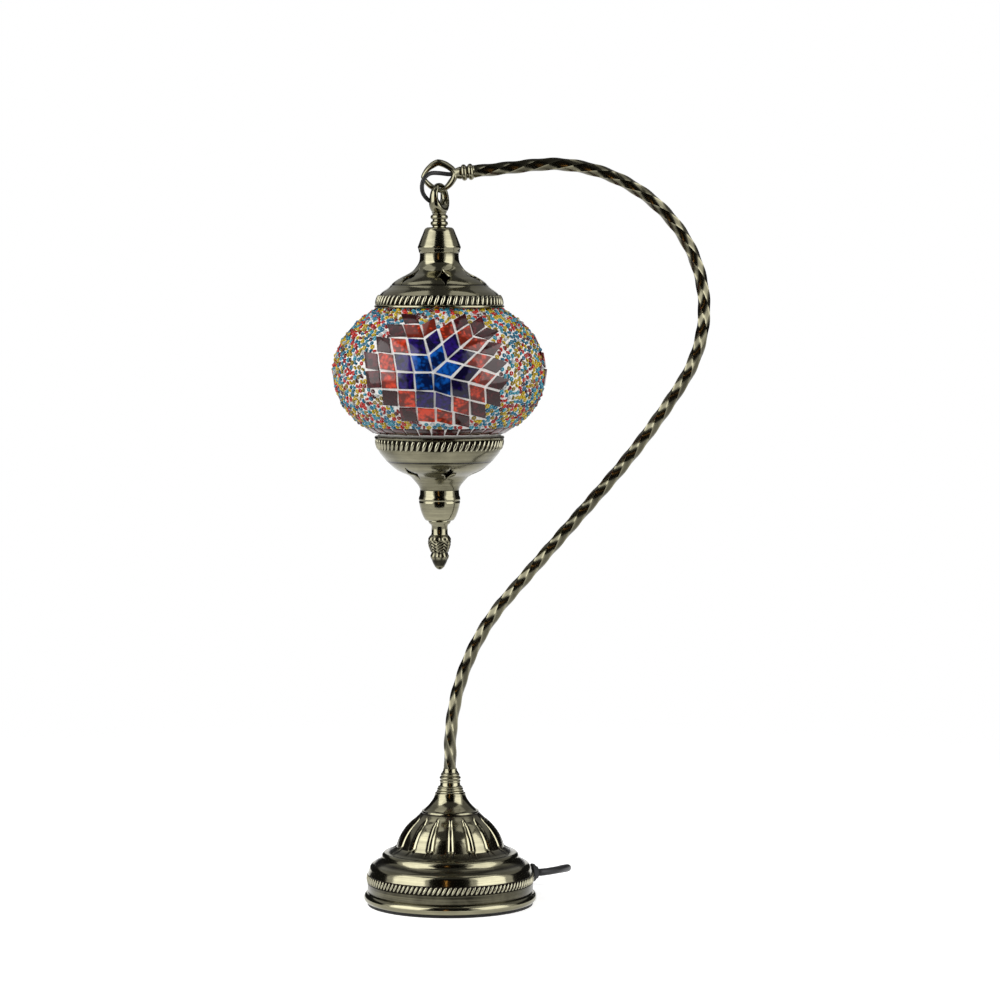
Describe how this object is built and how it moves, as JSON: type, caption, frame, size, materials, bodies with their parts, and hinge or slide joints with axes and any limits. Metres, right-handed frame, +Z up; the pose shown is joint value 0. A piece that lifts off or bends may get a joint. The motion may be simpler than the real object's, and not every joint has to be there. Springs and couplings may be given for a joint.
{
  "type": "mosaic glass table lamp",
  "caption": "Swan-neck table lamp: a hanging mosaic glass lantern with pierced metal caps swings from a ring on a twisted arm over a round fluted base, with cord, switch and plug.",
  "frame": {"origin": "centre of the felt pad's underside, on the axis of the base", "axes": "+Z up along the base's axis, +X towards the side to which the arm bows out, -Y towards the front of the lamp"},
  "size_m": [0.2294, 0.2286, 0.4541],
  "materials": {
    "antique_bronze": "antique bronze plating, brushed and lacquered",
    "felt": "dark felt",
    "iron": "as cast",
    "plain_brass": "plain turned",
    "zinc_steel": "zinc plated",
    "black_lead": "smooth lead sheath",
    "black_cord": "smooth cord sheath",
    "black_rubber": "moulded",
    "black_plastic": "fine grain",
    "pale_plastic": "smooth",
    "bulb_glass": "frosted",
    "globe_glass": "pale blown glass",
    "grout": "matt white",
    "plaster": "matt",
    "cobalt_glass": "polished cathedral glass",
    "navy_glass": "polished cathedral glass",
    "red_glass": "polished cathedral glass",
    "maroon_glass": "polished cathedral glass"
  },
  "bodies": {
    "stand": {"felt_pad": "felt", "base_pan": "antique_bronze", "base_weight": "iron", "base_shell": "antique_bronze", "stem_washer": "zinc_steel", "stem_lock_nut": "zinc_steel", "stem_nipple": "plain_brass", "stem_collar": "antique_bronze", "swan_arm": "antique_bronze", "arm_ring": "antique_bronze", "lead_in_arm": "black_lead", "wire_connectors": "pale_plastic", "cord_grommet": "black_rubber", "cord_clamp": "black_plastic", "mains_cord_run": "black_cord", "switch_base": "black_plastic", "switch_cover": "black_plastic", "rocker_pin": "zinc_steel", "switch_screws": "zinc_steel", "mains_cord_link": "black_cord", "cord_coil": "black_cord", "coil_tie": "black_plastic", "mains_cord_tail": "black_cord", "plug_body": "black_rubber", "plug_blades": "plain_brass"},
    "lead_link": {"lead_jumper": "black_lead"},
    "lantern": {"hanger_loop": "antique_bronze", "hanger_nipple": "plain_brass", "top_cup": "antique_bronze", "top_canopy": "antique_bronze", "canopy_nut": "zinc_steel", "lead_in_lantern": "black_lead", "holder_cap": "black_plastic", "holder_body": "black_plastic", "holder_contact": "plain_brass", "bulb_cap": "zinc_steel", "bulb_glass": "bulb_glass", "top_bedding": "plaster", "globe_glass_upper": "globe_glass", "globe_glass_lower_left": "globe_glass", "globe_glass_lower_right": "globe_glass", "mosaic_grout": "grout", "tiles_cobalt": "cobalt_glass", "tiles_navy": "navy_glass", "tiles_red": "red_glass", "tiles_maroon": "maroon_glass", "tiles_border": "maroon_glass", "bottom_bedding": "plaster", "bottom_canopy": "antique_bronze", "bottom_cup": "antique_bronze", "finial_stem": "antique_bronze", "finial": "antique_bronze", "finial_rod": "zinc_steel", "finial_nut": "zinc_steel"},
    "rocker": {"switch_rocker": "black_plastic"}
  },
  "joints": [
    {"name": "lantern_swing_fore_aft", "type": "hinge", "parent": "stand", "child": "lead_link", "pos_m": [-0.00628, 0, 0.43404], "axis": [1, 0, 0], "range_deg": [-20, 20], "deforming": ["lead_jumper"]},
    {"name": "lantern_swing_sideways", "type": "hinge", "parent": "lead_link", "child": "lantern", "pos_m": [-0.00628, 0, 0.43729], "axis": [0.4695, 0.8829, 0], "range_deg": [-20, 20], "deforming": ["lead_jumper"]},
    {"name": "switch_rocker_tip", "type": "hinge", "parent": "stand", "child": "rocker", "pos_m": [0.005, 0.065, 0.0106], "axis": [0, 1, 0], "range_deg": [0, 16]}
  ]
}
